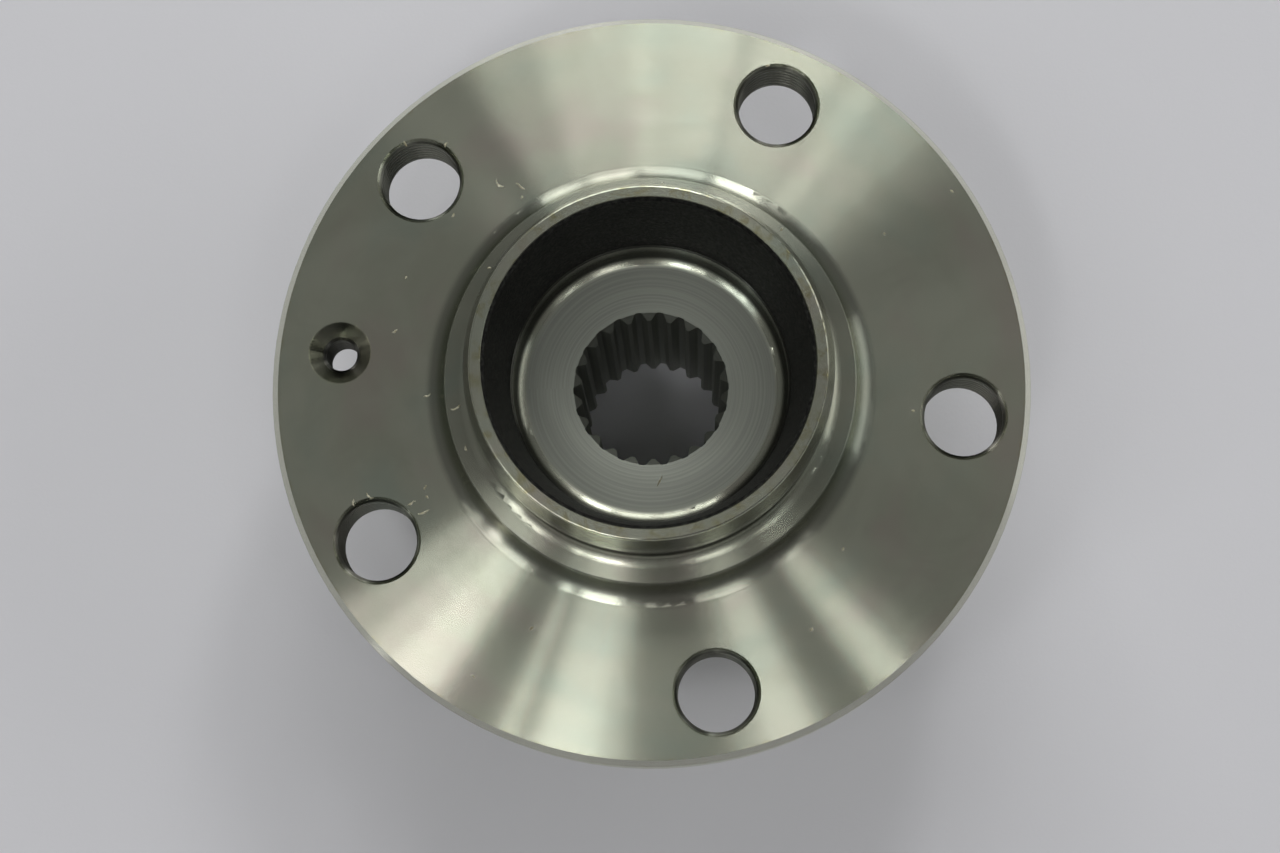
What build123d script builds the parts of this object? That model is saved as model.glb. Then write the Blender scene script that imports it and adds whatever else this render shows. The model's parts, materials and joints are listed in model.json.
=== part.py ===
from build123d import *
from math import cos, pi, radians, sin, tan
import os

# Wheel hub with its press-in double-row ball bearing.
# Frame: origin at the centre of the flange's mounting face, +Z along the spin axis towards the
# nose (outboard). Heights below that face are negative. All sizes are in millimetres.

# Wheel flange
bolt_circle_dia = 100.0
bolt_rim_width = 10.5  # from the bolt circle out to the flange's edge
flange_thickness = 11.2
flange_edge_chamfer = 0.95
bolt_count = 5
first_bolt_angle = 66.0
bolt_hole_dia = 12.6  # tapped M14 x 1.5, at the thread's minor diameter
bolt_hole_chamfer = 0.7
locating_hole_dia = 5.0  # tapped M6, at the thread's minor diameter
locating_countersink_dia = 10.0

# Disc pilot, blended into the flange at its foot
disc_pilot_step = 3.95  # from the wheel pilot out to the disc pilot, which makes it 65.0 across
disc_pilot_height = 5.7
disc_pilot_chamfer = 0.2
disc_pilot_blend = 3.2

# Wheel pilot, at the end of the hollow nose
wheel_pilot_dia = 57.1
wheel_pilot_land = 3.0
wheel_pilot_undercut = 0.55
nose_height = 21.2
nose_lead_length = 3.9
nose_lead_depth = 1.2
nose_blend = 2.1  # where the nose rises from the disc pilot
nose_rim_width = 1.65
nose_rim_rounding = 0.3

# Forged recess inside the nose, with a turned pocket at its foot that the axle nut seats in
recess_mouth_chamfer = 0.6
recess_taper = 2.8  # how far the forged wall closes in, from the mouth's chamfer to the pocket
nut_seat_depth = 3.9
nut_pocket_depth = 5.7  # from the pocket's edge down to the seat
nut_pocket_blend = 2.0
nut_pocket_chamfer = 0.3

# Splined stub that carries the bearing
shoulder_overhang = 2.5  # of the hub's shoulder past the inner ring's
shoulder_standoff = 3.3
shoulder_chamfer = 0.6
shoulder_fillet = 2.5
stub_relief_depth = 0.35
stub_relief_width = 1.6
stub_lead_chamfer = 1.2
stub_setback = 0.5  # the inner ring stands this far past the stub, so that the joint clamps the ring
spline_teeth = 22
spline_minor_dia = 22.6
spline_tooth_height = 1.2
spline_tooth_width = 1.65  # halfway up
spline_flank_angle = 32.0
spline_root_rounding = 0.25
spline_mouth_chamfer = 1.1
spline_first_space_angle = 83.5

# Bearing envelope and ball set
bearing_bore_dia = 39.0
bearing_width = 37.0
outer_corner = 1.0
inner_corner = 0.6
race_wall = 3.02  # of each ring under its races, which makes the bearing 72.0 across
ball_dia = 10.32
balls_per_row = 14
contact_angle = 40.0
race_conformity = 0.52  # groove radius over ball diameter
ball_clearance = 0.07
race_shoulder = 0.29  # height over ball diameter, on the side that carries the thrust
race_lip = 0.07  # height over ball diameter, on the other side

# Cages, moulded in one piece with a row of snap-in pockets
cage_inset = 0.3  # from the pitch circle in to the cage's bore, over ball radius
cage_outset = 0.51  # from the pitch circle out to the cage's rim, over ball radius
cage_horn = 0.37  # how far the horns reach past the balls' centres, over ball radius
cage_floor = 0.85  # left behind each ball
cage_edge_chamfer = 0.4
pocket_clearance = 0.2

# Seals: a rubber lip bonded to a pressed case, running on a pressed slinger
seal_depth = 5.4  # of each seal's room, from the bearing's end
seal_seat_step = 0.8
sheet = 0.6
press_bend = 0.25  # rounding of the bends in pressed sheet
seal_gap = 0.4
case_inset = 0.5
case_leg_gap = 2.3  # left to the slinger's sleeve, for the lips
slinger_inset = 1.1
lip_clearance = 0.3
lip_thickness = 0.7
lip_root = 0.2
rubber_skin = 0.6
encoder_thickness = 0.85
encoder_margin = 0.5

# Worked out from the sizes above
flange_r = bolt_circle_dia / 2 + bolt_rim_width
hole_spacing = 360 / bolt_count
stub_r = bearing_bore_dia / 2
shoulder_z = -(flange_thickness + shoulder_standoff)
bearing_mid_z = shoulder_z - bearing_width / 2
stub_end_z = shoulder_z - bearing_width + stub_setback
ball_r = ball_dia / 2
inner_groove_bottom_r = stub_r + race_wall
pitch_r = inner_groove_bottom_r + ball_clearance + ball_r
outer_groove_bottom_r = pitch_r + ball_r + ball_clearance
bearing_r = outer_groove_bottom_r + race_wall
groove_r = ball_dia * race_conformity
race_shoulder_height = ball_dia * race_shoulder
race_lip_height = ball_dia * race_lip
inner_shoulder_r = inner_groove_bottom_r + race_shoulder_height
outer_lip_r = outer_groove_bottom_r - race_lip_height
seal_seat_r = outer_lip_r + seal_seat_step
slinger_r = seal_seat_r - sheet - seal_gap
cage_end = bearing_width / 2 - seal_depth - seal_gap  # from the bearing's middle
row_z = cage_end - cage_floor - pocket_clearance - ball_r  # of a row, from the bearing's middle

SIDES = {"outboard": 1, "inboard": -1}


def turned(*corners):
    """A solid of revolution about Z. Each corner is (radius, height) or (radius, height, rounding)."""
    points = [(corner[0], 0, corner[1]) for corner in corners]
    roundings = [corner[2] if len(corner) > 2 else 0 for corner in corners]
    return revolve(make_face(FilletPolyline(*points, radius=roundings, close=True)), Axis.Z)


def drill(hole_r, mouth_r, mouth_depth, exit_r):
    """The space of a hole through the flange, with a cone at its mouth and a 45 degree exit."""
    back = -flange_thickness
    return turned(
        (0, mouth_depth),
        (mouth_r + mouth_depth, mouth_depth),
        (hole_r, hole_r - mouth_r),
        (hole_r, back + exit_r - hole_r),
        (exit_r + mouth_depth, back - mouth_depth),
        (0, back - mouth_depth),
    )


def hub_blank():
    """The forged and turned hub, before its holes and spline are cut."""
    wheel_r, minor_r = wheel_pilot_dia / 2, spline_minor_dia / 2
    disc_r = wheel_r + disc_pilot_step
    shoulder_r = inner_shoulder_r + shoulder_overhang
    back = -flange_thickness
    seat_z = -nut_seat_depth
    mouth_r = wheel_r - nose_lead_depth - nose_rim_width
    wall_top_r = mouth_r - recess_mouth_chamfer
    wall_foot_r = wall_top_r - recess_taper
    pocket_r = wall_foot_r - nut_pocket_chamfer
    pocket_top = seat_z + nut_pocket_depth
    land_top = nose_height - nose_lead_length
    land_foot = land_top - wheel_pilot_land
    undercut_r = wheel_r - wheel_pilot_undercut
    relief_r = stub_r - stub_relief_depth
    return turned(
        (minor_r + spline_mouth_chamfer, stub_end_z),
        (minor_r, stub_end_z + spline_mouth_chamfer),
        (minor_r, seat_z - spline_mouth_chamfer),
        (minor_r + spline_mouth_chamfer, seat_z),
        (pocket_r, seat_z, nut_pocket_blend),
        (pocket_r, pocket_top - nut_pocket_chamfer),
        (wall_foot_r, pocket_top),
        (wall_top_r, nose_height - recess_mouth_chamfer),
        (mouth_r, nose_height),
        (wheel_r - nose_lead_depth, nose_height, nose_rim_rounding),
        (wheel_r, land_top),
        (wheel_r, land_foot),
        (undercut_r, land_foot - wheel_pilot_undercut),
        (undercut_r, disc_pilot_height, nose_blend),
        (disc_r - disc_pilot_chamfer, disc_pilot_height),
        (disc_r, disc_pilot_height - disc_pilot_chamfer),
        (disc_r, 0, disc_pilot_blend),
        (flange_r - flange_edge_chamfer, 0),
        (flange_r, -flange_edge_chamfer),
        (flange_r, back + flange_edge_chamfer),
        (flange_r - flange_edge_chamfer, back),
        (shoulder_r, back, shoulder_fillet),
        (shoulder_r, shoulder_z + shoulder_chamfer),
        (shoulder_r - shoulder_chamfer, shoulder_z),
        (relief_r, shoulder_z),
        (relief_r, shoulder_z - stub_relief_width),
        (stub_r, shoulder_z - stub_relief_width - stub_relief_depth),
        (stub_r, stub_end_z + 2 * stub_lead_chamfer),
        (stub_r - stub_lead_chamfer, stub_end_z),
    )


def spline_spaces():
    """The spaces between the teeth of the splined bore, as one cutter through the stub."""
    minor_r = spline_minor_dia / 2
    pitch_half = spline_tooth_height / 2
    space_half = pi * (minor_r + pitch_half) / spline_teeth - spline_tooth_width / 2
    flank = tan(radians(spline_flank_angle))
    start = minor_r - spline_mouth_chamfer
    major_r = minor_r + spline_tooth_height
    mouth_half = space_half + (spline_mouth_chamfer + pitch_half) * flank
    root_half = space_half - pitch_half * flank
    outline = FilletPolyline(
        (start, mouth_half),
        (start, -mouth_half),
        (major_r, -root_half),
        (major_r, root_half),
        radius=[0, 0, spline_root_rounding, spline_root_rounding],
        close=True,
    )
    space = make_face(outline)
    ring = PolarLocations(0, spline_teeth, start_angle=spline_first_space_angle)
    length = -nut_seat_depth - stub_end_z
    overrun = spline_mouth_chamfer
    cutter = extrude(Sketch() + [place * space for place in ring], length + 2 * overrun)
    return Pos(0, 0, stub_end_z - overrun) * cutter


def wheel_hub():
    bolt_hole_r = bolt_hole_dia / 2
    bolt_mouth_r = bolt_hole_r + bolt_hole_chamfer
    bolt_hole = drill(bolt_hole_r, bolt_mouth_r, bolt_hole_chamfer, bolt_mouth_r)
    screw_r, countersink_r = locating_hole_dia / 2, locating_countersink_dia / 2
    screw_hole = drill(screw_r, countersink_r, countersink_r - screw_r, screw_r + bolt_hole_chamfer)
    bolt_ring = PolarLocations(bolt_circle_dia / 2, bolt_count, start_angle=first_bolt_angle)
    screw_angle = first_bolt_angle + 1.5 * hole_spacing
    screw_place = Rot(0, 0, screw_angle) * Pos(bolt_circle_dia / 2, 0, 0)
    hub = hub_blank() - [place * bolt_hole for place in bolt_ring]
    return hub - screw_place * screw_hole - spline_spaces()


def race_groove(side, towards_axis):
    """The torus that a ball row's race is ground to, its centre set off along the contact line."""
    offset = groove_r - ball_r - ball_clearance
    sense = 1 if towards_axis else -1
    centre_r = pitch_r + sense * offset * cos(radians(contact_angle))
    centre_z = row_z - sense * offset * sin(radians(contact_angle))
    return Pos(0, 0, bearing_mid_z + side * centre_z) * Torus(centre_r, groove_r)


def inner_ring(side):
    """Half of the split inner ring: a high shoulder at the bearing's end, a low lip at its middle."""
    end_z = bearing_mid_z + side * bearing_width / 2
    step_z = bearing_mid_z + side * row_z
    lip_r = inner_groove_bottom_r + race_lip_height
    blank = turned(
        (stub_r, bearing_mid_z, inner_corner),
        (lip_r, bearing_mid_z, inner_corner),
        (lip_r, step_z),
        (inner_shoulder_r, step_z),
        (inner_shoulder_r, end_z, inner_corner),
        (stub_r, end_z, inner_corner),
    )
    return blank - race_groove(side, True)


def outer_ring():
    """The stationary ring, with both outer races, a rib between them and a seal seat at each end."""
    rib_r = outer_groove_bottom_r - race_shoulder_height
    half = bearing_width / 2
    seat = half - seal_depth
    upper = [
        (seal_seat_r, half, inner_corner),
        (seal_seat_r, seat),
        (outer_lip_r, seat),
        (outer_lip_r, row_z),
        (rib_r, row_z),
    ]
    lower = [(corner[0], -corner[1], *corner[2:]) for corner in reversed(upper)]
    outline = [(bearing_r, half, outer_corner), *upper, *lower, (bearing_r, -half, outer_corner)]
    blank = Pos(0, 0, bearing_mid_z) * turned(*outline)
    return blank - [race_groove(side, False) for side in SIDES.values()]


def ball_places(side):
    """Where the centres of one row's balls lie. The rows are staggered by half a pitch."""
    centre_z = bearing_mid_z + side * row_z
    stagger = 0 if side > 0 else 180 / balls_per_row
    ring = PolarLocations(pitch_r, balls_per_row, start_angle=stagger)
    return [Pos(0, 0, centre_z) * place for place in ring]


def cage(side):
    """A crown cage: its rim runs behind the balls, and its horns close round them."""
    horn_z = bearing_mid_z + side * (row_z - cage_horn * ball_r)
    rim_z = bearing_mid_z + side * cage_end
    bore_r, rim_r = pitch_r - cage_inset * ball_r, pitch_r + cage_outset * ball_r
    blank = turned(
        (bore_r, horn_z, cage_edge_chamfer),
        (rim_r, horn_z, cage_edge_chamfer),
        (rim_r, rim_z, cage_edge_chamfer),
        (bore_r, rim_z, cage_edge_chamfer),
    )
    pocket = Sphere(ball_r + pocket_clearance)
    return blank - [place * pocket for place in ball_places(side)]


def at_depth(side, depth):
    """The height of a point that lies this far inside the bearing's end face."""
    return bearing_mid_z + side * (bearing_width / 2 - depth)


def sealed(side, corners):
    """A turned ring whose corners are (radius, depth inside the end face, rounding)."""
    return turned(*[(radius, at_depth(side, depth), rounding) for radius, depth, rounding in corners])


def case_leg_r():
    """How far in towards the slinger's sleeve the leg of a seal case reaches."""
    return inner_shoulder_r + sheet + case_leg_gap


def seal_case(side):
    """A pressed angle: a sleeve in the outer ring's seat, and a leg that reaches inwards."""
    leg_r = case_leg_r()
    leg_near = seal_depth - sheet
    return sealed(side, [
        (seal_seat_r, case_inset, 0),
        (seal_seat_r, seal_depth, 2 * press_bend),
        (leg_r, seal_depth, 0),
        (leg_r, leg_near, 0),
        (seal_seat_r - sheet, leg_near, press_bend),
        (seal_seat_r - sheet, case_inset, 0),
    ])


def slinger(side):
    """A pressed angle on the inner ring: a sleeve, and a flange that covers the seal."""
    sleeve_r = inner_shoulder_r + sheet
    return sealed(side, [
        (inner_shoulder_r, slinger_inset, 2 * press_bend),
        (slinger_r, slinger_inset, 0),
        (slinger_r, slinger_inset + sheet, 0),
        (sleeve_r, slinger_inset + sheet, press_bend),
        (sleeve_r, seal_depth, 0),
        (inner_shoulder_r, seal_depth, 0),
    ])


def seal_lip(side):
    """Rubber bonded to the case's leg: a dust lip to the slinger's flange, two lips to its sleeve."""
    near, far = seal_depth - sheet, seal_depth
    skin_depth = near - rubber_skin
    outer_r = seal_seat_r - sheet - 2 * press_bend
    leg_r = case_leg_r()
    dust_r = (leg_r + outer_r) / 2
    dust_tip_depth = slinger_inset + sheet + lip_clearance
    tip_r = inner_shoulder_r + sheet + lip_clearance
    tip = lip_thickness / 2
    return sealed(side, [
        (outer_r, near, 0),
        (outer_r, skin_depth, 0),
        (dust_r + lip_thickness, skin_depth, lip_root),
        (dust_r + 2 * lip_thickness, dust_tip_depth, 0),
        (dust_r + 2 * lip_thickness - tip, dust_tip_depth, 0),
        (dust_r, skin_depth, lip_root),
        (leg_r - rubber_skin, skin_depth, 0),
        (tip_r, skin_depth - lip_thickness, 0),
        (tip_r, skin_depth - lip_thickness + tip, 0),
        (leg_r - rubber_skin - tip, near, 0),
        (tip_r, far - tip, 0),
        (tip_r, far, 0),
        (leg_r, far, 0),
        (leg_r, near, 0),
    ])


def encoder_ring(side):
    """The magnetised rubber ring on the slinger's outer face, for a wheel speed sensor."""
    bore_r = inner_shoulder_r + 2 * press_bend + encoder_margin
    face_depth = slinger_inset - encoder_thickness
    return sealed(side, [
        (bore_r, slinger_inset, 0),
        (bore_r, face_depth, 0),
        (slinger_r, face_depth, 0),
        (slinger_r, slinger_inset, 0),
    ])


def build():
    """Every piece, by name."""
    pieces = {"wheel_hub": wheel_hub(), "bearing_outer_ring": outer_ring()}
    for name, side in SIDES.items():
        pieces[f"{name}_inner_ring"] = inner_ring(side)
        pieces[f"{name}_ball_cage"] = cage(side)
        pieces[f"{name}_seal_case"] = seal_case(side)
        pieces[f"{name}_slinger"] = slinger(side)
        pieces[f"{name}_seal_lip"] = seal_lip(side)
        for number, place in enumerate(ball_places(side), 1):
            pieces[f"{name}_ball_{number:02d}"] = place * Sphere(ball_r)
    pieces["inboard_encoder_ring"] = encoder_ring(SIDES["inboard"])
    return pieces


os.makedirs("parts", exist_ok=True)
for piece_name, piece in build().items():
    export_step(piece, f"parts/{piece_name}.step")
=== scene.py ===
import json
import math
import random

import bmesh
import bpy
from bpy.props import FloatProperty, FloatVectorProperty, IntProperty, PointerProperty
from mathutils import Matrix, Vector


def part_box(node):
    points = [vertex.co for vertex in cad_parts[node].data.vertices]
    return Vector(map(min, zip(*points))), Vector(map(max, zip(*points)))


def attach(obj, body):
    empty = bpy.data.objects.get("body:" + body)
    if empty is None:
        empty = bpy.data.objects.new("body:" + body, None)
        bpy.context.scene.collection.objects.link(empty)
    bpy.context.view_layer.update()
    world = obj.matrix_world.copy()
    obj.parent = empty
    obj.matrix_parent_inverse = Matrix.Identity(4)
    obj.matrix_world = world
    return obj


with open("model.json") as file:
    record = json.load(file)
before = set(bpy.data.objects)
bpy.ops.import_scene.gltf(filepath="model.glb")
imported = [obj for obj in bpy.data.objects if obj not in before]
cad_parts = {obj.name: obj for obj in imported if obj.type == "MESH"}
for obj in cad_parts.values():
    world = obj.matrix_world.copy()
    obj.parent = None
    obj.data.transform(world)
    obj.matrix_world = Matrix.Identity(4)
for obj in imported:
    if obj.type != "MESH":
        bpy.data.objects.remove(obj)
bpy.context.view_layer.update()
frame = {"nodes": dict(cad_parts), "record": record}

bl_info = {
    "name": "Wheel Hub Bearing Finisher",
    "version": (1, 0, 0),
    "blender": (4, 5, 0),
    "location": "3D View > Sidebar > Hub Bearing",
    "description": "Finishes a turned wheel hub and its sealed ball bearing, and sets them on a studio sheet",
    "category": "Object",
}

MM = 0.001
HUB_BODY = "spinning_hub"
MOUNTS = {mount["name"]: mount for mount in frame["record"]["mounts"]}
BOLT_HOLES = MOUNTS["wheel_bolts"]["dims"]
SCREW_HOLE = MOUNTS["locating_screw"]
FLOOR_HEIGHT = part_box("bearing_outer_ring")[0].z
SCREW_ANGLE = math.degrees(math.atan2(SCREW_HOLE["pos_m"][1], SCREW_HOLE["pos_m"][0]))
FIRST_BOLT_ANGLE = SCREW_ANGLE - 1.5 * 360 / BOLT_HOLES["count"]


# ---------------------------------------------------------------- shader building


class NodeWork:
    """Builds shader nodes in one node tree."""

    def __init__(self, tree):
        self.nodes = tree.nodes
        self.links = tree.links

    def feed(self, socket, value):
        """Sets a socket to a plain value, or links it to another node's output."""
        if isinstance(value, bpy.types.NodeSocket):
            self.links.new(value, socket)
        elif hasattr(socket.default_value, "__len__") and len(socket.default_value) == 4:
            socket.default_value = (*value[:3], 1)
        else:
            socket.default_value = value

    def math(self, operation, *values):
        node = self.nodes.new("ShaderNodeMath")
        node.operation = operation
        for socket, value in zip(node.inputs, values):
            self.feed(socket, value)
        return node.outputs[0]

    def ramp(self, value, start, end, low=0.0, high=1.0):
        """A smooth rise from low to high as the value goes from start to end."""
        node = self.nodes.new("ShaderNodeMapRange")
        node.interpolation_type = "SMOOTHSTEP"
        for name, number in (("From Min", start), ("From Max", end), ("To Min", low), ("To Max", high)):
            node.inputs[name].default_value = number
        self.feed(node.inputs["Value"], value)
        return node.outputs["Result"]

    def between(self, value, start, end, soft):
        """1 where the value lies between start and end, 0 outside, with soft edges."""
        rise = self.ramp(value, start - soft, start + soft)
        return self.math("MULTIPLY", rise, self.ramp(value, end - soft, end + soft, 1, 0))

    def coordinates(self, space):
        """The x, y and z of the shaded point, or of the direction it is seen from, in a space."""
        split = self.nodes.new("ShaderNodeSeparateXYZ")
        self.links.new(self.nodes.new("ShaderNodeTexCoord").outputs[space], split.inputs[0])
        return split.outputs

    def vector(self, x, y, z):
        node = self.nodes.new("ShaderNodeCombineXYZ")
        for socket, value in zip(node.inputs, (x, y, z)):
            self.feed(socket, value)
        return node.outputs[0]

    def polar(self, x, y):
        """Distance from the spin axis and angle round it, in millimetres and radians."""
        square = self.math("ADD", self.math("MULTIPLY", x, x), self.math("MULTIPLY", y, y))
        return self.math("SQRT", square), self.math("ARCTAN2", y, x)

    def noise(self, vector, scale, detail=3.0, roughness=0.5, distortion=0.0):
        node = self.nodes.new("ShaderNodeTexNoise")
        self.feed(node.inputs["Vector"], vector)
        node.inputs["Scale"].default_value = scale
        node.inputs["Detail"].default_value = detail
        node.inputs["Roughness"].default_value = roughness
        node.inputs["Distortion"].default_value = distortion
        return node.outputs["Fac"]

    def mix(self, factor, first, second):
        node = self.nodes.new("ShaderNodeMix")
        node.data_type = "RGBA"
        self.feed(node.inputs["Factor"], factor)
        self.feed(node.inputs[6], first)
        self.feed(node.inputs[7], second)
        return node.outputs[2]

    def bump(self, height, distance):
        """A bump whose height of 1 stands this many millimetres proud."""
        node = self.nodes.new("ShaderNodeBump")
        node.inputs["Strength"].default_value = 1.0
        node.inputs["Distance"].default_value = distance * MM
        self.feed(node.inputs["Height"], height)
        return node.outputs["Normal"]

    def vector_math(self, operation, *values):
        node = self.nodes.new("ShaderNodeVectorMath")
        node.operation = operation
        for value, socket in zip(values, [each for each in node.inputs if each.enabled]):
            self.feed(socket, value)
        return node.outputs[0]


class Finish(NodeWork):
    """One procedural material, built node by node round a single surface shader."""

    def __init__(self, name):
        self.material = bpy.data.materials.new(name)
        self.material.use_nodes = True
        super().__init__(self.material.node_tree)
        self.nodes.clear()
        self.surface = self.nodes.new("ShaderNodeBsdfPrincipled")
        self.output = self.nodes.new("ShaderNodeOutputMaterial")
        self.shown = self.surface.outputs["BSDF"]
        self.links.new(self.shown, self.output.inputs["Surface"])

    def cover(self, mask):
        """Lays another surface shader over those before it, by the mask's share of the surface."""
        self.surface = self.nodes.new("ShaderNodeBsdfPrincipled")
        blend = self.nodes.new("ShaderNodeMixShader")
        self.feed(blend.inputs[0], mask)
        self.links.new(self.shown, blend.inputs[1])
        self.links.new(self.surface.outputs["BSDF"], blend.inputs[2])
        self.shown = blend.outputs[0]
        self.links.new(self.shown, self.output.inputs["Surface"])

    def set(self, **values):
        """Sets the surface shader's sockets by name, in lower case with underscores for spaces."""
        sockets = {socket.name.lower().replace(" ", "_"): socket for socket in self.surface.inputs}
        for name, value in values.items():
            self.feed(sockets[name], value)

    def point(self):
        """The surface point in millimetres, as x, y and z."""
        return [self.math("DIVIDE", axis, MM) for axis in self.coordinates("Object")]

    def grooved_normal(self, x, y, lean):
        """The surface's normal, leaned to and fro across the turning grooves."""
        turn = self.nodes.new("ShaderNodeVectorTransform")
        turn.vector_type, turn.convert_from, turn.convert_to = "VECTOR", "OBJECT", "WORLD"
        self.links.new(self.vector(self.math("MULTIPLY", y, -1.0), x, 0.0), turn.inputs[0])
        around = self.vector_math("NORMALIZE", turn.outputs[0])
        normal = self.nodes.new("ShaderNodeNewGeometry").outputs["Normal"]
        across = self.vector_math("CROSS_PRODUCT", normal, around)
        leaned = self.vector_math("ADD", normal, self.vector_math("SCALE", across, lean))
        return self.vector_math("NORMALIZE", leaned)

    def lathe_tangent(self):
        """Makes the shine stretch across the turning grooves, which run round the spin axis."""
        node = self.nodes.new("ShaderNodeTangent")
        node.direction_type = "RADIAL"
        node.axis = "Z"
        self.links.new(node.outputs[0], self.surface.inputs["Tangent"])


def dress(node, material):
    """Gives a carried-over CAD piece its finish."""
    slots = frame["nodes"][node].data.materials
    slots.clear()
    slots.append(material)


def hole_distance(finish, radius, angle, hole_angle, spacing):
    """Distance in millimetres from the axis of the nearest hole of a ring of holes."""
    shifted = finish.math("SUBTRACT", angle, math.radians(hole_angle) - spacing / 2)
    local = finish.math("SUBTRACT", finish.math("FLOORED_MODULO", shifted, spacing), spacing / 2)
    along = finish.math("MULTIPLY", radius, finish.math("COSINE", local))
    across = finish.math("MULTIPLY", radius, finish.math("SINE", local))
    inward = finish.math("SUBTRACT", along, BOLT_HOLES["pcd_mm"] / 2)
    squares = [finish.math("MULTIPLY", side, side) for side in (inward, across)]
    return finish.math("SQRT", finish.math("ADD", *squares))


RADIUS, HEIGHT = "radius", "height"
HUB_ZONES = {
    # zone: ramps whose product marks it, each by axis, start and full height, in millimetres
    "nose_rim": ((HEIGHT, 17.0, 19.6), (RADIUS, 25.2, 25.8)),
    "outer_rim": ((RADIUS, 58.9, 59.8),),
    "hole_depth": ((HEIGHT, -0.15, -0.5), (HEIGHT, -11.1, -10.9)),
    "below_face": ((HEIGHT, -0.05, -0.2),),
    "broached": ((RADIUS, 12.55, 12.45), (HEIGHT, -3.6, -3.85)),
    "pocket_wall": ((RADIUS, 21.0, 21.6), (HEIGHT, -3.9, -3.5), (HEIGHT, 2.2, 1.8), (RADIUS, 22.8, 22.6)),
    "nose_wall": ((HEIGHT, 6.3, 7.5), (RADIUS, 25.4, 25.9), (HEIGHT, 21.1, 20.6)),
    "undercut": ((HEIGHT, 6.5, 7.1), (HEIGHT, 14.1, 13.5), (RADIUS, 25.4, 25.9), (RADIUS, 29.2, 28.8)),
    "foot": ((RADIUS, 36.2, 34.8), (RADIUS, 32.3, 32.5)),
    "ledge": ((RADIUS, 28.3, 28.5), (RADIUS, 32.6, 32.4), (HEIGHT, 7.0, 6.5)),
    "pocket_foot": ((RADIUS, 19.6, 20.0), (RADIUS, 22.1, 21.7), (HEIGHT, 0.0, -1.0)),
    # The edge zone marks the flange's chamfer, which gets a painted highlight.
    "edge": ((RADIUS, 59.5, 59.6), (RADIUS, 60.5, 60.4), (HEIGHT, -1.2, -1.0)),
    "face": ((RADIUS, 32.5, 33.5),),
    "seat": ((RADIUS, 20.5, 19.7), (HEIGHT, 0.0, -1.5)),
    "inside_nose": ((RADIUS, 25.9, 25.75),),
}
STAIN_SHARE = 0.7
# Shares of the near-black laid in the bolt holes, the screw's countersink and the broached bore, as oil and
# painted shade, and on the pocket's wall, as painted shade.
BORED_OIL_SHADE, CONE_OIL_SHADE, BROACHED_OIL_SHADE, POCKET_SHADE = 0.8, 0.6, 0.92, 0.85


def hub_zones(finish, radius, z):
    """Masks of the hub's zones by name: 1 inside, 0 outside, with soft edges."""
    axes = {RADIUS: radius, HEIGHT: z}
    masks = {}
    for name, ramps in HUB_ZONES.items():
        mask = 1.0
        for axis, start, end in ramps:
            mask = finish.math("MULTIPLY", mask, finish.ramp(axes[axis], start, end))
        masks[name] = mask
    return masks


def add_hole_zones(finish, zones, radius, angle):
    """Adds the masks of the holes' walls and of the screw's countersink to the zones."""
    bolt = hole_distance(finish, radius, angle, FIRST_BOLT_ANGLE, 2 * math.pi / BOLT_HOLES["count"])
    screw = hole_distance(finish, radius, angle, SCREW_ANGLE, 2 * math.pi)
    walls = finish.math("MAXIMUM", finish.ramp(bolt, 7.1, 6.85), finish.ramp(screw, 3.1, 2.8))
    zones["bored"] = finish.math("MULTIPLY", walls, zones["hole_depth"])
    zones["cone"] = finish.math("MULTIPLY", finish.ramp(screw, 6.0, 5.8), zones["below_face"])
    # The disc pilot's top, the pocket's foot and the nose's rim get painted shade.
    ledges = finish.math("MAXIMUM", zones["ledge"], zones["pocket_foot"])
    zones["shaded_ledges"] = finish.math("MAXIMUM", ledges, zones["nose_rim"])


def turned_colour(finish, look, radius, angle, grooves, smudge):
    """Bare turned steel: its smudges, grooves and the faint tints of the fine turning marks."""
    fine, coarse = grooves
    steel = finish.mix(finish.ramp(smudge, 0.35, 0.7), look.steel_colour, look.smudge_colour)
    lines = finish.math("ADD", finish.math("MULTIPLY", fine, 0.1), finish.math("MULTIPLY", coarse, 0.08))
    steel = finish.mix(lines, steel, look.groove_colour)
    place = finish.vector(
        finish.math("MULTIPLY", radius, 0.035), finish.math("SINE", angle), finish.math("COSINE", angle),
    )
    film = finish.noise(place, 2.2, 2.0, 0.5)
    pink, green = finish.ramp(film, 0.5, 0.72), finish.ramp(film, 0.5, 0.28)
    steel = finish.mix(finish.math("MULTIPLY", pink, look.film_strength), steel, look.pink_film)
    return finish.mix(finish.math("MULTIPLY", green, look.film_strength), steel, look.green_film)


def stain_shade_and_highlight(finish, look, steel, zones, place):
    """Rust oil dried on the rims, then painted shade that darkens the hub zone by zone, with oil in the holes
    and bores, then a painted highlight on the flange's chamfer.
    """
    noise = finish.noise(place, 0.5, 5.0, 0.7, 0.3)
    rims = finish.math("MAXIMUM", zones["nose_rim"], zones["outer_rim"])
    stain = finish.math("MULTIPLY", rims, finish.ramp(noise, 0.45, 0.75))
    steel = finish.mix(finish.math("MULTIPLY", stain, STAIN_SHARE), steel, look.stain_colour)
    # Painted shade, with oil in the holes and bores: each zone is darkened towards the near-black by its
    # share.
    painted_shades = (
        ("bored", BORED_OIL_SHADE), ("cone", CONE_OIL_SHADE), ("broached", BROACHED_OIL_SHADE),
        ("pocket_wall", POCKET_SHADE), ("nose_wall", look.wall_shade), ("undercut", look.wall_shade),
        ("foot", look.foot_shade), ("shaded_ledges", look.nose_shade),
    )
    for name, share in painted_shades:
        steel = finish.mix(finish.math("MULTIPLY", zones[name], share), steel, look.oil_and_shade_colour)
    # Painted highlight: the flange's chamfer is lightened to near white.
    return finish.mix(zones["edge"], steel, look.edge_highlight_colour)


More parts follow.
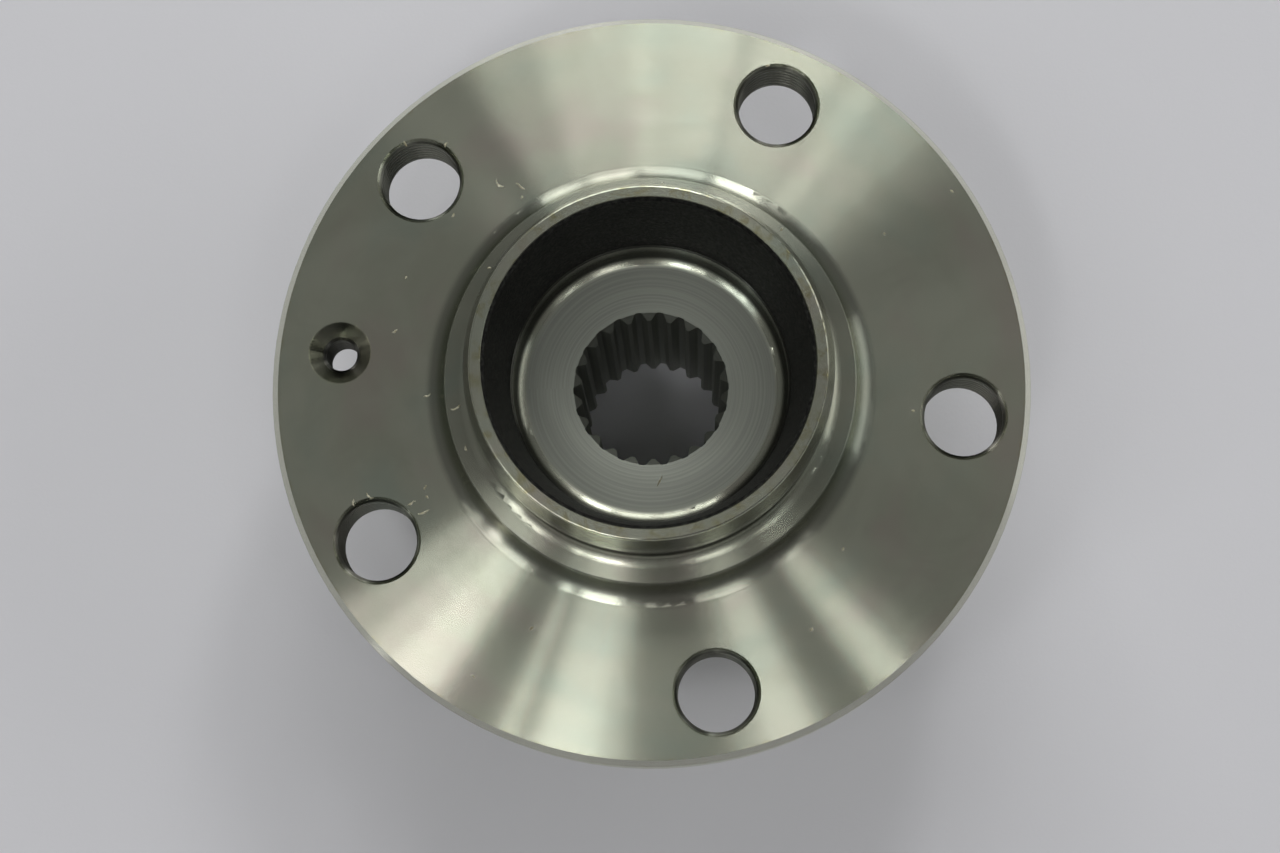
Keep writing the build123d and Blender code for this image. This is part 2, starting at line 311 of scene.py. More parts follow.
def shaded_seat_rings(finish, look, steel, seat, radius, angle):
    """Lays the seat's own rings over the steel, in colours darkened as painted shade of the nose's recess."""
    rings = finish.noise(finish.vector(radius, 0.0, finish.math("MULTIPLY", angle, 0.1)), 3.2, 4.0, 0.65)
    shaded_rings = finish.mix(finish.ramp(rings, 0.35, 0.65), look.shaded_seat_colour, look.shaded_seat_groove)
    return finish.mix(seat, steel, shaded_rings)


def hub_roughness(finish, look, zones, radius, smudge):
    rough = finish.math("ADD", look.turned_roughness, finish.math("MULTIPLY", smudge, 0.02))
    rough = finish.math("ADD", rough, finish.math("MULTIPLY", zones["bored"], 0.2))
    rough = finish.math("ADD", rough, finish.math("MULTIPLY", zones["seat"], look.seat_roughness))
    return finish.math("ADD", rough, finish.ramp(radius, 35.7, 32.4, 0.0, look.nose_roughness))


def cover_with_forging(finish, look, zones, z, place):
    """Lays the forge's black scale over the nose's inside."""
    forged = finish.between(z, look.forged_foot, look.forged_top, 0.05)
    finish.cover(finish.math("MULTIPLY", forged, zones["inside_nose"]))
    grain = finish.noise(place, 1.7, 6.0, 0.72)
    pits = finish.noise(place, 5.0, 3.0, 0.6)
    skin = finish.mix(finish.ramp(grain, 0.42, 0.7), look.forged_colour, look.forged_fleck)
    relief = finish.math("ADD", grain, finish.math("MULTIPLY", pits, 0.4))
    finish.set(
        base_color=skin, metallic=0.0, roughness=finish.ramp(pits, 0.3, 0.7, 0.48, 0.62),
        specular_ior_level=0.2, normal=finish.bump(relief, 0.4),
    )


def hub_steel(look):
    """Bare steel, turned on a lathe, with the forging's black skin left inside the nose."""
    finish = Finish("turned_hub_steel")
    x, y, z = finish.point()
    radius, angle = finish.polar(x, y)
    place = finish.vector(x, y, z)
    zones = hub_zones(finish, radius, z)
    add_hole_zones(finish, zones, radius, angle)

    groove_place = finish.vector(radius, z, finish.math("MULTIPLY", angle, 0.15))
    fine = finish.noise(groove_place, 6.5, 3.0, 0.6)
    coarse = finish.noise(groove_place, 0.8, 3.0, 0.5)
    smudge = finish.noise(place, 0.055, 5.0, 0.6, 0.8)
    steel = turned_colour(finish, look, radius, angle, (fine, coarse), smudge)
    steel = stain_shade_and_highlight(finish, look, steel, zones, place)
    steel = shaded_seat_rings(finish, look, steel, zones["seat"], radius, angle)
    rough = hub_roughness(finish, look, zones, radius, smudge)

    plainer = finish.math("MAXIMUM", zones["seat"], zones["nose_rim"])
    stretch = finish.ramp(plainer, 0.0, 1.0, 1.0, 0.3)
    marks = finish.math("MULTIPLY", finish.math("SUBTRACT", fine, 0.5), look.ring_lean)
    flank = finish.math("MULTIPLY", finish.ramp(zones["face"], 0.0, 1.0, 0.5, 1.0), look.groove_lean)
    # A level lobe and one for each flank of the grooves. The shares leave all three equal.
    for share, side in ((None, 0.0), (1 / 2, -1.0), (1 / 3, 1.0)):
        if share:
            finish.cover(share)
        lean = finish.math("ADD", marks, finish.math("MULTIPLY", flank, side))
        finish.set(
            base_color=steel, metallic=1.0, roughness=rough, anisotropic=stretch,
            anisotropic_rotation=0.25, normal=finish.grooved_normal(x, y, lean),
        )
        finish.lathe_tangent()
    cover_with_forging(finish, look, zones, z, place)
    return finish.material


def ring_steel(look):
    """Ground bearing steel, with a thin oil film."""
    finish = Finish("bearing_ring_steel")
    x, y, z = finish.point()
    radius, angle = finish.polar(x, y)
    grooves = finish.vector(radius, z, finish.math("MULTIPLY", angle, 0.2))
    fine = finish.noise(grooves, 7.0, 5.0, 0.6)
    cloud = finish.noise(finish.vector(x, y, z), 0.09, 4.0, 0.6, 0.5)
    colour = finish.mix(finish.ramp(cloud, 0.35, 0.7), look.ring_colour, look.ring_shade)
    colour = finish.mix(finish.math("MULTIPLY", fine, 0.3), colour, look.groove_colour)
    finish.set(
        base_color=colour, metallic=1.0, roughness=finish.ramp(cloud, 0.3, 0.7, 0.3, 0.38),
        anisotropic=0.8, anisotropic_rotation=0.25, normal=finish.bump(fine, 0.002),
    )
    finish.lathe_tangent()
    return finish.material


def ball_steel(look):
    """Polished steel, with faint running bands and clouds of oil."""
    finish = Finish("polished_ball_steel")
    x, y, z = finish.point()
    cloud = finish.noise(finish.vector(x, y, z), 0.35, 4.0, 0.55, 0.6)
    scratch = finish.noise(finish.vector(finish.math("MULTIPLY", x, 6.0), y, z), 1.2, 5.0, 0.7)
    colour = finish.mix(finish.ramp(cloud, 0.4, 0.7), look.ball_colour, look.ball_shade)
    finish.set(
        base_color=colour, metallic=1.0, roughness=finish.ramp(cloud, 0.35, 0.75, 0.07, 0.16),
        normal=finish.bump(scratch, 0.0008),
    )
    return finish.material


def cage_plastic(look):
    """Glass-filled polyamide, with a moulded grain and a greasy sheen."""
    finish = Finish("cage_polyamide")
    x, y, z = finish.point()
    place = finish.vector(x, y, z)
    cloud = finish.noise(place, 0.25, 4.0, 0.6, 0.4)
    fibre = finish.noise(finish.vector(finish.math("MULTIPLY", x, 0.3), y, z), 3.2, 6.0, 0.7)
    colour = finish.mix(finish.ramp(cloud, 0.35, 0.7), look.cage_colour, look.cage_shade)
    colour = finish.mix(finish.ramp(fibre, 0.55, 0.8, 0.0, 0.35), colour, look.cage_fleck)
    finish.set(
        base_color=colour, roughness=finish.ramp(cloud, 0.3, 0.7, 0.38, 0.52),
        subsurface_weight=0.08, subsurface_radius=(0.002, 0.0015, 0.001),
        normal=finish.bump(fibre, 0.02),
    )
    return finish.material


def lip_rubber(name, colour, shade, grain_height):
    """Moulded rubber, dull with a fine grain and a little bloom."""
    finish = Finish(name)
    x, y, z = finish.point()
    place = finish.vector(x, y, z)
    bloom = finish.noise(place, 0.3, 5.0, 0.6, 0.7)
    grain = finish.noise(place, 5.0, 5.0, 0.65)
    mixed = finish.mix(finish.ramp(bloom, 0.4, 0.75), colour, shade)
    finish.set(
        base_color=mixed, roughness=finish.ramp(bloom, 0.3, 0.75, 0.5, 0.68),
        specular_ior_level=0.4, normal=finish.bump(grain, grain_height),
    )
    return finish.material


def pressed_steel(look):
    """Cold-rolled sheet steel, with the drawn marks of the press."""
    finish = Finish("pressed_seal_steel")
    x, y, z = finish.point()
    radius, angle = finish.polar(x, y)
    drawn = finish.noise(finish.vector(finish.math("MULTIPLY", angle, 30.0), radius, z), 1.0, 5.0, 0.65)
    cloud = finish.noise(finish.vector(x, y, z), 0.12, 4.0, 0.6, 0.5)
    colour = finish.mix(finish.ramp(cloud, 0.35, 0.7), look.pressed_colour, look.pressed_shade)
    colour = finish.mix(finish.math("MULTIPLY", drawn, 0.25), colour, look.groove_colour)
    finish.set(
        base_color=colour, metallic=1.0, roughness=finish.ramp(cloud, 0.3, 0.7, 0.3, 0.42),
        anisotropic=0.4, normal=finish.bump(drawn, 0.004),
    )
    finish.lathe_tangent()
    return finish.material


def chip_metal(look):
    """Bright swarf left from the last cut."""
    finish = Finish("bright_swarf")
    x, y, z = finish.point()
    grain = finish.noise(finish.vector(x, y, z), 2.2, 4.0, 0.6)
    colour = finish.mix(finish.ramp(grain, 0.4, 0.65), look.chip_colour, look.chip_shade)
    finish.set(
        base_color=colour, metallic=0.35, roughness=finish.ramp(grain, 0.3, 0.7, 0.3, 0.5),
        normal=finish.bump(grain, 0.02),
    )
    return finish.material


# ---------------------------------------------------------------- mesh building


def mesh_piece(name, build, material, body, smooth=True):
    """A new piece made by a bmesh function, with its finish, riding on a body."""
    mesh = bpy.data.meshes.new(name)
    work = bmesh.new()
    build(work)
    bmesh.ops.recalc_face_normals(work, faces=work.faces)
    work.to_mesh(mesh)
    work.free()
    for polygon in mesh.polygons:
        polygon.use_smooth = smooth
    mesh.materials.append(material)
    piece = bpy.data.objects.new(name, mesh)
    bpy.context.scene.collection.objects.link(piece)
    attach(piece, body)
    return piece


def helix_ridge(work, centre, hole_r, crest, pitch, top, bottom, steps):
    """A thread's ridge on the wall of a hole: a thin triangular ridge wound down its length."""
    turns = (top - bottom) / pitch
    root, flat = 0.46 * pitch, 0.06 * pitch
    profile = ((0.01, root), (-crest, flat), (-crest, -flat), (0.01, -root))
    rings = []
    count = int(turns * steps)
    for step in range(count + 1):
        angle = 2 * math.pi * step / steps
        height = top - pitch * step / steps
        fade = min(1.0, step / (0.5 * steps), (count - step) / (0.5 * steps))
        ring = []
        for inward, along in profile:
            reach = hole_r + (inward if inward > 0 else inward * fade)
            ring.append(work.verts.new((
                (centre[0] + reach * math.cos(angle)) * MM,
                (centre[1] + reach * math.sin(angle)) * MM,
                (height + along) * MM,
            )))
        rings.append(ring)
    size = len(profile)
    for near, far in zip(rings, rings[1:]):
        for corner in range(size):
            after = (corner + 1) % size
            work.faces.new((near[corner], near[after], far[after], far[corner]))
    work.faces.new(rings[0])
    work.faces.new(list(reversed(rings[-1])))


def swarf_chip(work, place, length, heading, bend, dice):
    """A sliver of swarf lying on a turned face: a pointed ribbon that bends as it goes."""
    steps = 7
    step_length = length / steps
    heading = math.radians(heading)
    point = Vector(place)
    point.x -= length / 2 * math.cos(heading)
    point.y -= length / 2 * math.sin(heading)
    heading -= math.radians(bend) / 2
    rings = []
    for step in range(steps + 1):
        half = 0.04 + 0.12 * math.sin(math.pi * step / steps) * dice.uniform(0.6, 1.4)
        rise = 0.05 + 0.14 * dice.random()
        side = Vector((-math.sin(heading), math.cos(heading), 0.0)) * half
        top = point + Vector((0.0, 0.0, rise))
        rings.append([work.verts.new(corner * MM) for corner in (point + side, top, point - side)])
        heading += math.radians(bend) / steps + dice.uniform(-0.5, 0.5)
        point = point + Vector((math.cos(heading), math.sin(heading), 0.0)) * step_length
    for near, far in zip(rings, rings[1:]):
        for corner in range(3):
            after = (corner + 1) % 3
            work.faces.new((near[corner], near[after], far[after], far[corner]))
    work.faces.new(rings[0])
    work.faces.new(list(reversed(rings[-1])))


# ---------------------------------------------------------------- settings


def colour_property(label, purpose, default):
    return FloatVectorProperty(
        name=label, description=purpose, default=default, size=3, min=0, max=1, subtype="COLOR",
    )


class HubLook(bpy.types.PropertyGroup):
    """Colours and roughness of the hub and the bearing."""

    steel_colour: colour_property("Turned steel", "Colour of the turned faces", (0.71, 0.735, 0.59))
    smudge_colour: colour_property("Smudge", "Steel under a thin film of oil", (0.63, 0.655, 0.515))
    groove_colour: colour_property("Groove", "Steel in the turning grooves", (0.34, 0.345, 0.3))
    pink_film: colour_property("Pink film", "Warm tint of the fine turning marks", (0.66, 0.55, 0.5))
    green_film: colour_property("Green film", "Cool tint of the fine turning marks", (0.5, 0.62, 0.52))
    stain_colour: colour_property("Rim stain", "Dried rust oil on the rims", (0.42, 0.37, 0.1))
    # Painted highlight: a near-white colour for the flange's chamfer, brighter than the turned steel.
    edge_highlight_colour: colour_property("Edge", "Chamfer round the flange", (0.95, 0.955, 0.83))
    # Painted shade: both nut seat colours are darkened to stand in for the shade inside the nose's recess;
    # their rings are the seat's own turning marks.
    shaded_seat_colour: colour_property("Nut seat", "Steel of the axle nut's seat", (0.37, 0.39, 0.335))
    shaded_seat_groove: colour_property("Nut seat groove", "Grooves of the axle nut's seat", (0.31, 0.325, 0.285))
    # Oil and painted shade: this near-black is oil and painted shade in the holes and bores, and painted
    # shade on the nose's walls, ledges, rim and foot and on the seat's pocket wall.
    oil_and_shade_colour: colour_property(
        "Oiled bore", "Steel in the tapped and broached bores", (0.045, 0.044, 0.044),
    )
    forged_colour: colour_property("Forging skin", "Black scale left by the forge", (0.004, 0.004, 0.0037))
    forged_fleck: colour_property("Forging fleck", "Grey flecks in the scale", (0.05, 0.051, 0.044))
    ring_colour: colour_property("Bearing ring", "Ground ring steel", (0.58, 0.58, 0.57))
    ring_shade: colour_property("Ring shade", "Ground ring steel under oil", (0.46, 0.46, 0.44))
    ball_colour: colour_property("Ball", "Polished ball steel", (0.72, 0.72, 0.72))
    ball_shade: colour_property("Ball shade", "Ball steel under grease", (0.6, 0.59, 0.55))
    cage_colour: colour_property("Cage", "Polyamide of the ball cages", (0.56, 0.47, 0.29))
    cage_shade: colour_property("Cage shade", "Polyamide, stained by grease", (0.42, 0.33, 0.18))
    cage_fleck: colour_property("Cage fibre", "Glass fibre at the surface", (0.72, 0.66, 0.5))
    rubber_colour: colour_property("Seal rubber", "Rubber of the seal lips", (0.018, 0.018, 0.02))
    rubber_shade: colour_property("Rubber bloom", "Bloom on the seal lips", (0.04, 0.04, 0.04))
    encoder_colour: colour_property("Encoder", "Magnetised rubber of the encoder", (0.035, 0.03, 0.027))
    encoder_shade: colour_property("Encoder bloom", "Ferrite dust on the encoder", (0.07, 0.062, 0.055))
    pressed_colour: colour_property("Pressed steel", "Sheet steel of the seals", (0.5, 0.5, 0.46))
    pressed_shade: colour_property("Pressed shade", "Sheet steel, dulled", (0.4, 0.39, 0.35))
    chip_colour: colour_property("Swarf", "Bright swarf", (0.72, 0.7, 0.55))
    chip_shade: colour_property("Swarf shade", "Swarf in its own shade", (0.4, 0.36, 0.22))
    swarf_seed: IntProperty(name="Swarf seed", description="Varies the slivers' outlines", default=48)
    film_strength: FloatProperty(
        name="Film strength", description="How strong the pink and green tints are",
        default=0.4, min=0, max=1, subtype="FACTOR",
    )
    turned_roughness: FloatProperty(
        name="Turned roughness", description="Roughness of the turned faces",
        default=0.165, min=0, max=1, subtype="FACTOR",
    )
    seat_roughness: FloatProperty(
        name="Seat roughness", description="How much rougher the axle nut's seat is",
        default=0.2, min=0, max=1, subtype="FACTOR",
    )
    nose_roughness: FloatProperty(
        name="Nose roughness", description="How much rougher the nose is than the flange's face",
        default=0.07, min=0, max=1, subtype="FACTOR",
    )
    groove_lean: FloatProperty(
        name="Groove lean", description="How steeply the two flanks of the finest turning grooves lean",
        default=0.125, min=0, max=3,
    )
    ring_lean: FloatProperty(
        name="Ring lean", description="How steeply the sides of the turning marks that show lean",
        default=0.04, min=0, max=3,
    )
    # Painted shade: darkens the nose's outer wall and its undercut towards the near-black.
    wall_shade: FloatProperty(
        name="Wall film", description="How much oil dulls the nose's outer wall",
        default=0.7, min=0, max=1, subtype="FACTOR",
    )
    # Painted shade: darkens the disc pilot's top, the nose's rim and the pocket's foot.
    nose_shade: FloatProperty(
        name="Nose film",
        description="How much oil dulls the disc pilot, the nose's rim and the pocket's foot",
        default=0.25, min=0, max=1, subtype="FACTOR",
    )
    # Painted shade: darkens the fillet at the foot of the disc pilot.
    foot_shade: FloatProperty(
        name="Foot film", description="How much oil dulls the foot of the disc pilot",
        default=0.5, min=0, max=1, subtype="FACTOR",
    )
    forged_foot: FloatProperty(
        name="Foot of forging skin", description="Height of the turned pocket's edge, in millimetres",
        default=1.82,
    )
    forged_top: FloatProperty(
        name="Top of forging skin", description="Height where the nose's turned lip begins, in millimetres",
        default=21.08,
    )


class ThreadSizes(bpy.types.PropertyGroup):
    """Sizes of the threads tapped in the flange, in millimetres."""

    bolt_pitch: FloatProperty(name="Bolt pitch", description="Pitch of the wheel bolt threads", default=1.5)
    screw_pitch: FloatProperty(
        name="Screw pitch", description="Pitch of the disc screw's thread", default=1.0,
    )
    crest: FloatProperty(name="Crest", description="How far the ridges stand off the wall", default=0.16)
    steps: IntProperty(name="Steps", description="Segments in one turn of a thread", default=48, min=12)


class StudioSettings(bpy.types.PropertyGroup):
    """Sheet, lamps and camera of the studio."""

    sheet_colour: colour_property("Sheet", "Colour of the paper sheet", (0.79, 0.79, 0.82))
    sky_colour: colour_property("Ceiling", "Light of the room from above", (1.0, 1.0, 1.0))
    left_colour: colour_property("Left wall", "Light of the room from the left", (0.3, 0.34, 0.24))
    right_colour: colour_property("Right wall", "Light of the room from the right", (1.0, 1.0, 0.95))
    near_colour: colour_property("Near wall", "Light of the room from the camera's side", (0.12, 0.12, 0.11))
    lens: FloatProperty(name="Lens", description="Focal length of the camera", default=77.93, unit="CAMERA")
    camera_place: FloatVectorProperty(
        name="Camera place", description="Where the camera stands", size=3, subtype="TRANSLATION",
        default=(0.00749, -0.07373, 0.43516),
    )
    camera_turn: FloatVectorProperty(
        name="Camera turn", description="Camera's rotation vector in its own frame", size=3,
        default=(0.15263, 0.0209, 0.0),
    )


SETTINGS = {"hub_look": HubLook, "hub_threads": ThreadSizes, "hub_studio": StudioSettings}


# ---------------------------------------------------------------- operators


class FinishHub(bpy.types.Operator):
    """Gives the hub its turned and forged finish"""

    bl_idname = "hub_bearing.finish_hub"
    bl_label = "Finish Hub"

    def execute(self, context):
        dress("wheel_hub", hub_steel(context.scene.hub_look))
        return {"FINISHED"}


class FinishRings(bpy.types.Operator):
    """Gives the bearing's rings their ground finish"""

    bl_idname = "hub_bearing.finish_rings"
    bl_label = "Finish Bearing Rings"

    def execute(self, context):
        material = ring_steel(context.scene.hub_look)
        for node in ("bearing_outer_ring", "outboard_inner_ring", "inboard_inner_ring"):
            dress(node, material)
        return {"FINISHED"}


class FinishBalls(bpy.types.Operator):
    """Polishes both rows of balls"""

    bl_idname = "hub_bearing.finish_balls"
    bl_label = "Finish Balls"

    def execute(self, context):
        material = ball_steel(context.scene.hub_look)
        for node in frame["nodes"]:
            if "_ball_" in node and not node.endswith("_cage"):
                dress(node, material)
        return {"FINISHED"}


class FinishCages(bpy.types.Operator):
    """Gives the ball cages their moulded finish"""

    bl_idname = "hub_bearing.finish_cages"
    bl_label = "Finish Cages"

    def execute(self, context):
        material = cage_plastic(context.scene.hub_look)
        for node in ("outboard_ball_cage", "inboard_ball_cage"):
            dress(node, material)
        return {"FINISHED"}


class FinishSeals(bpy.types.Operator):
    """Finishes the seals' cases, lips, slingers and the encoder ring"""

    bl_idname = "hub_bearing.finish_seals"
    bl_label = "Finish Seals"

    def execute(self, context):
        look = context.scene.hub_look
        steel = pressed_steel(look)
        rubber = lip_rubber("seal_rubber", look.rubber_colour, look.rubber_shade, 0.008)
        encoder = lip_rubber("encoder_rubber", look.encoder_colour, look.encoder_shade, 0.004)
        for side in ("outboard", "inboard"):
            dress(f"{side}_seal_case", steel)
            dress(f"{side}_slinger", steel)
            dress(f"{side}_seal_lip", rubber)
        dress("inboard_encoder_ring", encoder)
        return {"FINISHED"}


BOLT_THREAD_TOP, BOLT_THREAD_BOTTOM = -1.1, -10.1
SCREW_THREAD_TOP, SCREW_THREAD_BOTTOM = -3.2, -10.0
SCREW_CREST_SHARE = 0.6


class TapThreads(bpy.types.Operator):
    """Winds the threads' ridges in the bolt holes and the locating screw hole"""

    bl_idname = "hub_bearing.tap_threads"
    bl_label = "Tap Threads"

    def execute(self, context):
        sizes = context.scene.hub_threads
        material = frame["nodes"]["wheel_hub"].data.materials[0]
        circle_r = BOLT_HOLES["pcd_mm"] / 2
        for number in range(BOLT_HOLES["count"]):
            angle = math.radians(FIRST_BOLT_ANGLE + number * 360 / BOLT_HOLES["count"])
            centre = (circle_r * math.cos(angle), circle_r * math.sin(angle))

            def wind(work, centre=centre):
                helix_ridge(
                    work, centre, BOLT_HOLES["hole_r_mm"], sizes.crest, sizes.bolt_pitch,
                    BOLT_THREAD_TOP, BOLT_THREAD_BOTTOM, sizes.steps,
                )

            mesh_piece(f"bolt_thread_{number + 1}", wind, material, HUB_BODY)
        screw = [value / MM for value in SCREW_HOLE["pos_m"]]

        def wind_screw(work):
            helix_ridge(
                work, screw[:2], SCREW_HOLE["dims"]["r_mm"], sizes.crest * SCREW_CREST_SHARE,
                sizes.screw_pitch, SCREW_THREAD_TOP, SCREW_THREAD_BOTTOM, sizes.steps // 2,
            )

        mesh_piece("locating_screw_thread", wind_screw, material, HUB_BODY)
        return {"FINISHED"}


FLANGE_FACE, PILOT_FACE = 0.0, 5.7
SEAT_FACE = MOUNTS["nut_seat"]["pos_m"][2] / MM
SWARF = (
    # radius, angle round the axis, height, length, heading, bend
    (42.4, 207, FLANGE_FACE, 1.5, 10, -30),
    (41.4, 210, FLANGE_FACE, 2.0, 0, 110),
    (39.6, 207, FLANGE_FACE, 0.6, 90, 40),
    (39.3, 205, FLANGE_FACE, 0.9, 45, 30),
    (48.2, 202, FLANGE_FACE, 1.6, -60, 60),
    (50.6, 202, FLANGE_FACE, 1.3, -75, 20),
    (40.9, 126, FLANGE_FACE, 2.0, -30, 170),
    (38.6, 123, FLANGE_FACE, 1.9, -35, -70),
    (36.9, 124, FLANGE_FACE, 0.6, 20, 60),
    (42.2, 139, FLANGE_FACE, 0.8, 60, 30),
    (43.1, 244, FLANGE_FACE, 0.8, 80, 20),
    (35.0, 238, FLANGE_FACE, 0.5, 30, 10),
    (54.1, 239, FLANGE_FACE, 0.8, 120, 40),
    (46.5, 303, FLANGE_FACE, 0.7, 70, -30),
    (40.3, 319, FLANGE_FACE, 0.6, 20, 20),
    (41.9, 354, FLANGE_FACE, 0.6, -30, 20),
    (44.8, 33, FLANGE_FACE, 0.5, 45, 0),
    (57.8, 33, FLANGE_FACE, 0.7, 110, 30),
    (55.4, 70, FLANGE_FACE, 1.0, -20, 10),
    (51.2, 130, FLANGE_FACE, 1.0, 40, -50),
    (56.0, 135, FLANGE_FACE, 1.1, -50, 40),
    (41.8, 168, FLANGE_FACE, 1.1, 15, 20),
    (35.6, 183, FLANGE_FACE, 1.3, 5, 15),
    (43.1, 156, FLANGE_FACE, 0.5, 80, 0),
    (30.9, 188, PILOT_FACE, 1.8, 35, 120),
    (31.3, 86, PILOT_FACE, 0.6, 20, 30),
    (31.4, 145, PILOT_FACE, 0.7, 80, 20),
    (31.0, 201, PILOT_FACE, 0.9, 130, 40),
    (31.7, 49, PILOT_FACE, 0.6, 60, 10),
    (15.2, 276, SEAT_FACE, 1.9, 50, 15),
)


class ScatterSwarf(bpy.types.Operator):
    """Leaves the last cut's slivers on the hub's faces"""

    bl_idname = "hub_bearing.scatter_swarf"
    bl_label = "Scatter Swarf"

    def execute(self, context):
        dice = random.Random(context.scene.hub_look.swarf_seed)

        def scatter(work):
            for radius, angle, height, length, heading, bend in SWARF:
                turn = math.radians(angle)
                place = (radius * math.cos(turn), radius * math.sin(turn), height)
                swarf_chip(work, place, length, heading, bend, dice)

        material = chip_metal(context.scene.hub_look)
        mesh_piece("swarf_slivers", scatter, material, HUB_BODY, smooth=False)
        return {"FINISHED"}


def window_pane(name, start, end, low, high, brightness, eye):
    """A lamp whose reflection fills the flange's turned face from one angle to another, in degrees.

    The grooves spread a lamp's reflection along a radius, so a lamp shows as a wedge between two
    radii. It reaches from low to high, in degrees down from straight above.
    """
    middle, lean = math.radians((start + end) / 2), math.radians((low + high) / 2)
    outward = Vector((math.cos(middle), math.sin(middle), 0))
    around = Vector((-math.sin(middle), math.cos(middle), 0))
    view = (eye - outward * MIRROR_RADIUS).normalized()
    slip = math.asin(-view.dot(around) / math.sin(lean))
    reach = math.sin(lean) * math.cos(slip) + view.dot(outward)

    data = bpy.data.lights.new(name, "AREA")
    data.shape = "RECTANGLE"
    data.size = LAMP_DISTANCE * abs(reach) * math.radians(end - start)
    data.size_y = 2 * LAMP_DISTANCE * math.tan(math.radians(high - low) / 2)
    data.energy = brightness * math.pi * data.size * data.size_y
    pane = bpy.data.objects.new(name, data)
    bearing = middle + slip
    away = Vector((math.sin(lean) * math.cos(bearing), math.sin(lean) * math.sin(bearing), math.cos(lean)))
    roll = Matrix.Rotation(math.atan(-math.cos(lean) * math.tan(slip)), 3, "Z")
    aim = away.to_track_quat("Z", "Y").to_matrix() @ roll
    pane.matrix_world = Matrix.Translation(away * LAMP_DISTANCE) @ aim.to_4x4()
    bpy.context.scene.collection.objects.link(pane)


LAMP_DISTANCE = 1.4
MIRROR_RADIUS = 45 * MM
ROOM_STRENGTH = 0.163
SHEET_HALF = 3.0
# Other programs made these rows. Least squares fits, run outside this script, gave the lamps' angles and
# brightness and picked which ones to keep, and a script rounded the numbers. Some of the angles offered
# to the fits were given one by one, and so were ten of the final brightnesses. The same fits scaled the
# room's strength.
FITTED_LAMPS = (
    # name, start, end, low, high, brightness
    ("window_pane_01", 40, 50, 22, 35, 0.9),
    ("window_pane_02", 51, 58, 17, 57, 1.3),
    ("window_pane_03", 58, 74, 40, 56, 11),
    ("window_pane_04", 72, 95, 28, 42, 2.2),
    ("window_pane_05", 74, 93, 44, 60, 4.2),
    ("window_pane_06", 92, 108, 29, 72, 2.2),
    ("window_pane_07", 93, 112, 56, 72, 2.5),
    ("window_pane_08", 109, 121, 45, 72, 3.2),
    ("window_pane_09", 112, 120, 40, 52, 2.9),
    ("window_pane_10", 216, 220, 8, 59, 1.4),
    ("window_pane_11", 222, 227, 16, 71, 2.8),
    ("window_pane_12", 227, 237, 17, 23, 7.6),
    ("window_pane_13", 227, 238, 26, 40, 2.9),
    ("window_pane_14", 247, 249, 19, 36, 11),
    ("window_pane_15", 251, 263, 23, 29, 23),
    ("window_pane_16", 261, 267, 6, 20, 2),
    ("window_pane_17", 282, 290, 23, 29, 6.6),
    ("window_pane_18", 288, 296, 9, 36, 2.4),
    ("window_pane_19", 305, 313, 17, 23, 7.2),
    ("window_pane_20", 314, 317, 7, 57, 0.4),
    ("window_pane_21", 337, 380, 45, 72, 1.2),
)


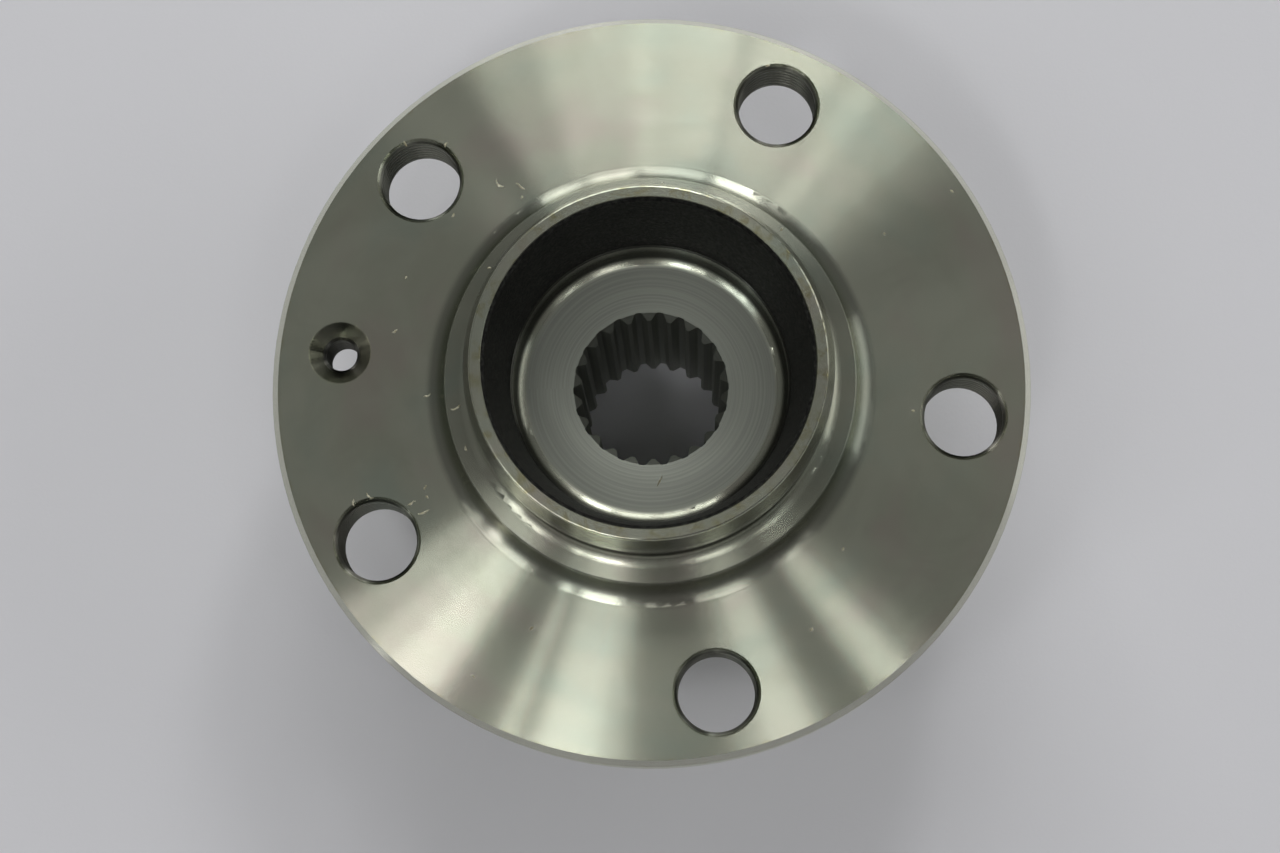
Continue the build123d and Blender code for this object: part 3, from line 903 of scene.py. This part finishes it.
class SetStudio(bpy.types.Operator):
    """Lays the sheet, hangs the lamps and places the camera"""

    bl_idname = "hub_bearing.set_studio"
    bl_label = "Set Studio"

    def execute(self, context):
        studio = context.scene.hub_studio
        self.lay_sheet(studio)
        for row in FITTED_LAMPS:
            window_pane(*row, Vector(studio.camera_place))
        self.light_room(context.scene, studio)
        self.place_camera(context.scene, studio)
        return {"FINISHED"}

    def lay_sheet(self, studio):
        mesh = bpy.data.meshes.new("paper_sheet")
        signs = ((-1, -1), (1, -1), (1, 1), (-1, 1))
        corners = [(along * SHEET_HALF, across * SHEET_HALF, 0) for along, across in signs]
        mesh.from_pydata(corners, [], [(0, 1, 2, 3)])
        finish = Finish("sheet_paper")
        x, y, z = finish.point()
        tooth = finish.noise(finish.vector(x, y, z), 1.5, 4.0, 0.6)
        cloud = finish.noise(finish.vector(x, y, z), 0.01, 2.0, 0.5)
        deeper = tuple(channel * 0.96 for channel in studio.sheet_colour)
        finish.set(
            base_color=finish.mix(cloud, studio.sheet_colour, deeper), roughness=0.85,
            specular_ior_level=0.2, normal=finish.bump(tooth, 0.02),
        )
        mesh.materials.append(finish.material)
        sheet = bpy.data.objects.new("paper_sheet", mesh)
        sheet.location.z = FLOOR_HEIGHT
        bpy.context.scene.collection.objects.link(sheet)

    def light_room(self, scene, studio):
        world = bpy.data.worlds.new("studio_room")
        world.use_nodes = True
        scene.world = world
        room = NodeWork(world.node_tree)
        background = room.nodes["Background"]
        x, y, z = room.coordinates("Generated")
        low = room.mix(room.ramp(x, -0.6, 0.6), studio.left_colour, studio.right_colour)
        low = room.mix(room.ramp(y, -0.2, -0.7), low, studio.near_colour)
        room.feed(background.inputs["Color"], room.mix(room.ramp(z, 0.1, 0.6), low, studio.sky_colour))
        background.inputs["Strength"].default_value = ROOM_STRENGTH

    def place_camera(self, scene, studio):
        data = bpy.data.cameras.new("bench_camera")
        data.lens = studio.lens
        data.sensor_width = 36.0
        camera = bpy.data.objects.new("bench_camera", data)
        turn = Vector(studio.camera_turn)
        camera.matrix_world = Matrix.Translation(studio.camera_place) @ Matrix.Rotation(turn.length, 4, turn)
        scene.collection.objects.link(camera)
        scene.camera = camera
        scene.view_settings.view_transform = "Standard"


class HubBearingPanel(bpy.types.Panel):
    """Lists the finishing steps and their settings"""

    bl_idname = "VIEW3D_PT_hub_bearing"
    bl_label = "Hub Bearing"
    bl_space_type = "VIEW_3D"
    bl_region_type = "UI"
    bl_category = "Hub Bearing"

    def draw(self, context):
        for operator in OPERATORS:
            self.layout.operator(operator.bl_idname)
        for name, group in SETTINGS.items():
            box = self.layout.box()
            settings = getattr(context.scene, name)
            for setting in group.__annotations__:
                box.prop(settings, setting)


OPERATORS = (
    FinishHub, FinishRings, FinishBalls, FinishCages, FinishSeals, TapThreads, ScatterSwarf, SetStudio,
)


def register():
    for group in (*SETTINGS.values(), *OPERATORS, HubBearingPanel):
        bpy.utils.register_class(group)
    for name, group in SETTINGS.items():
        setattr(bpy.types.Scene, name, PointerProperty(type=group))


def unregister():
    for name in SETTINGS:
        delattr(bpy.types.Scene, name)
    for group in (HubBearingPanel, *reversed(OPERATORS), *SETTINGS.values()):
        bpy.utils.unregister_class(group)


def main():
    register()
    for operator in OPERATORS:
        family, action = operator.bl_idname.split(".")
        getattr(getattr(bpy.ops, family), action)()


if __name__ == "__main__":
    main()
